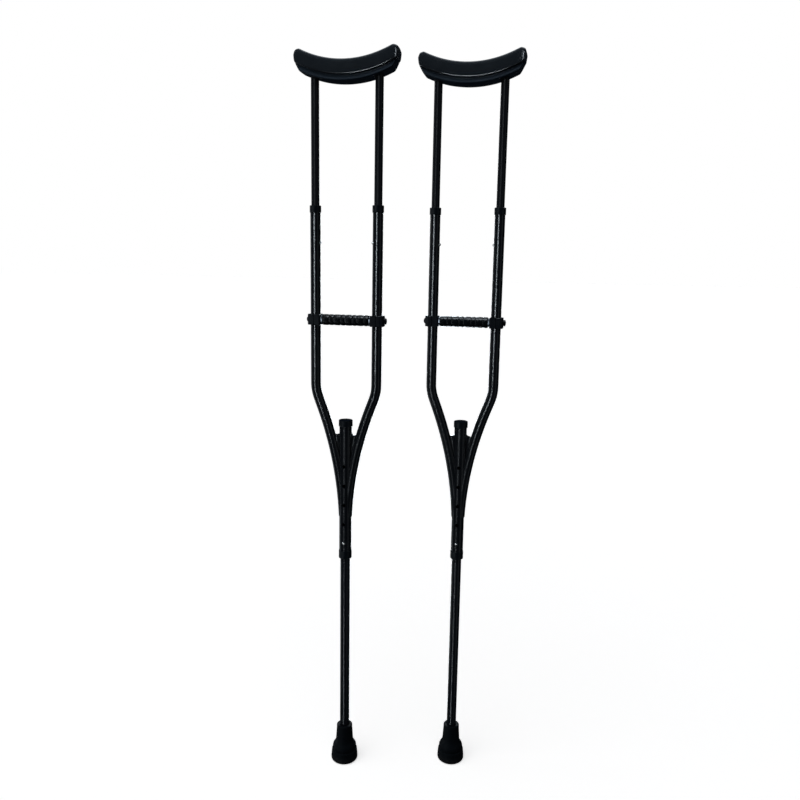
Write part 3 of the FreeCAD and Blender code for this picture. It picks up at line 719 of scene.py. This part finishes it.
def light_the_pair():
    """Tall strips for the tubes' highlights, soft panels for the rest, wide even fills."""
    tubes = both("fore_bow_tube", "aft_bow_tube", "centre_tube", "web_plates", "leg_tube")
    uppers = both("fore_upper_tube", "aft_upper_tube")
    cushions = both("pad_cushion")
    bases = both("pad_base")
    hand = both("grip_sleeve", "grip_bolt", "grip_nut", "fore_inner_saddle", "aft_inner_saddle",
                "fore_outer_saddle", "aft_outer_saddle")
    washers = both("grip_washers")
    cap = both("top_cap")
    fittings = both("ferrule", "foot_collar", "fore_collar", "aft_collar")
    buttons = both(*NODE_FINISH["bright_steel"])
    everything = tubes + uppers + cushions + bases + hand + washers + fittings + buttons
    not_pads = tubes + uppers + fittings + hand + washers + buttons
    strips = (
        # name, azimuth, lowest, highest, width, radiance, what it falls on
        ("key_strip_high", KEY_AZIMUTH, KEY_UPPER_CUT, 2.2, 0.14, 30.0, tubes + buttons),
        ("key_strip_middle", KEY_AZIMUTH, KEY_LOWER_CUT, KEY_UPPER_CUT, 0.14, 1.7, tubes + buttons),
        ("key_strip_low", KEY_AZIMUTH, -1.9, KEY_LOWER_CUT, 0.09, 13.0, tubes),
        ("upper_strip", -12, -1.0, 3.0, 0.2, 3.4, uppers),
        ("washer_strip", -12, -1.0, 3.0, 0.3, 6.5, washers),
        ("fitting_strip", -38, -1.8, 3.2, 0.3, 1.6, fittings + hand + cap),
        ("rear_strip", 190, -1.8, 3.2, 0.3, 10.0, not_pads),
    )
    for *strip, pieces in strips:
        falls_on(upright_strip(*strip), pieces)
    button_place = around_pair(-5, 2.0, 0.3)
    falls_on(panel_light("button_panel", button_place, (0, 0, 0.48), 1.2, 1.4, 3.2, WHITE), buttons)
    for name, azimuth, radiance in (("right_panel", 66, 0.18), ("left_panel", -100, 0.6)):
        place = around_pair(azimuth, PANEL_DISTANCE, PAIR_MIDDLE[2])
        panel_light(name, place, PAIR_MIDDLE, 0.9, 4.0, radiance)
    panels = (
        # name, place, aim, width, height, radiance, what it falls on
        ("soft_top", (0.0, 0.9, 3.0), PAIR_MIDDLE, 2.2, 1.4, 0.8, everything),
        ("overhead", (0.15, -0.55, 2.9), (0, 0, 0.9), 1.4, 0.5, 9.0, hand),
        ("lip_panel", (-0.05, -1.1, 0.25), PADS_MIDDLE, 1.0, 0.14, 60.0, cushions),
        ("pad_end_panel", around_pair(38, 2.0, 1.87), PADS_MIDDLE, 0.16, 0.8, 18.0, cushions),
        ("pad_rear_panel", around_pair(192, 1.8, 0.95), PADS_MIDDLE, 1.6, 0.3, 4.0, cushions),
    )
    for *panel, pieces in panels:
        falls_on(panel_light(*panel), pieces)
    even_fill("even_sun", (math.radians(22), math.radians(-12), 0), 1.5)
    for name, heading, energy in (("front_fill", -40, 0.5), ("rear_fill", 165, 0.6)):
        fill = even_fill(name, (math.radians(80), 0, math.radians(heading)), energy)
        falls_on(fill, everything + cap)


def stage_floor():
    """A wide pale floor that meets the white background."""
    mesh = bpy.data.meshes.new("studio_floor")
    reach = 60.0
    corners = [(-reach, -reach, 0), (reach, -reach, 0), (reach, reach, 0), (-reach, reach, 0)]
    mesh.from_pydata(corners, [], [(0, 1, 2, 3)])
    p = Paint("studio_floor", roughness=0.9, specular_ior_level=0.0, emission_strength=0.62)
    p.shader.inputs["Emission Color"].default_value = (1, 1, 1, 1)
    p.colour(p.blend(p.noise(3.0, 2.0), (0.86, 0.86, 0.86), (0.88, 0.88, 0.88)))
    mesh.materials.append(p.material)
    floor = bpy.data.objects.new("studio_floor", mesh)
    bpy.context.scene.collection.objects.link(floor)
    floor.visible_glossy = False
    floor.visible_diffuse = False
    floor.visible_shadow = False


def white_world():
    """White behind everything, and nearly dark in reflections."""
    world = bpy.data.worlds.new("studio")
    world.use_nodes = True
    nodes = world.node_tree.nodes
    links = world.node_tree.links
    nodes.clear()
    seen = nodes.new("ShaderNodeBackground")
    seen.inputs["Color"].default_value = (1, 1, 1, 1)
    mirrored = nodes.new("ShaderNodeBackground")
    mirrored.inputs["Color"].default_value = (0.007, 0.010, 0.015, 1)
    path = nodes.new("ShaderNodeLightPath")
    mix = nodes.new("ShaderNodeMixShader")
    output = nodes.new("ShaderNodeOutputWorld")
    links.new(path.outputs["Is Camera Ray"], mix.inputs["Fac"])
    links.new(mirrored.outputs["Background"], mix.inputs[1])
    links.new(seen.outputs["Background"], mix.inputs[2])
    links.new(mix.outputs["Shader"], output.inputs["Surface"])
    bpy.context.scene.world = world


def set_camera():
    """The camera stands a little right of the pair, just above grip height, looking down."""
    turn = math.radians(CAMERA_TURN)
    drop = math.radians(CAMERA_DROP)
    look = Vector((-math.sin(turn) * math.cos(drop), math.cos(turn) * math.cos(drop), -math.sin(drop)))
    data = bpy.data.cameras.new("camera")
    data.sensor_width = 36.0
    data.lens = CAMERA_LENS
    camera = bpy.data.objects.new("camera", data)
    bpy.context.scene.collection.objects.link(camera)
    camera.location = CAMERA_PLACE
    camera.rotation_mode = "QUATERNION"
    level = look.to_track_quat("-Z", "Y")
    camera.rotation_quaternion = level @ Quaternion((0, 0, 1), math.radians(CAMERA_ROLL))
    bpy.context.scene.camera = camera


finish_nodes()
for side in SIDES:
    make_pad(side)
    make_pad_base(side)
    make_grip(side)
    make_ferrule(side)
white_world()
stage_floor()
light_the_pair()
set_camera()
bpy.context.scene.view_settings.view_transform = "Standard"
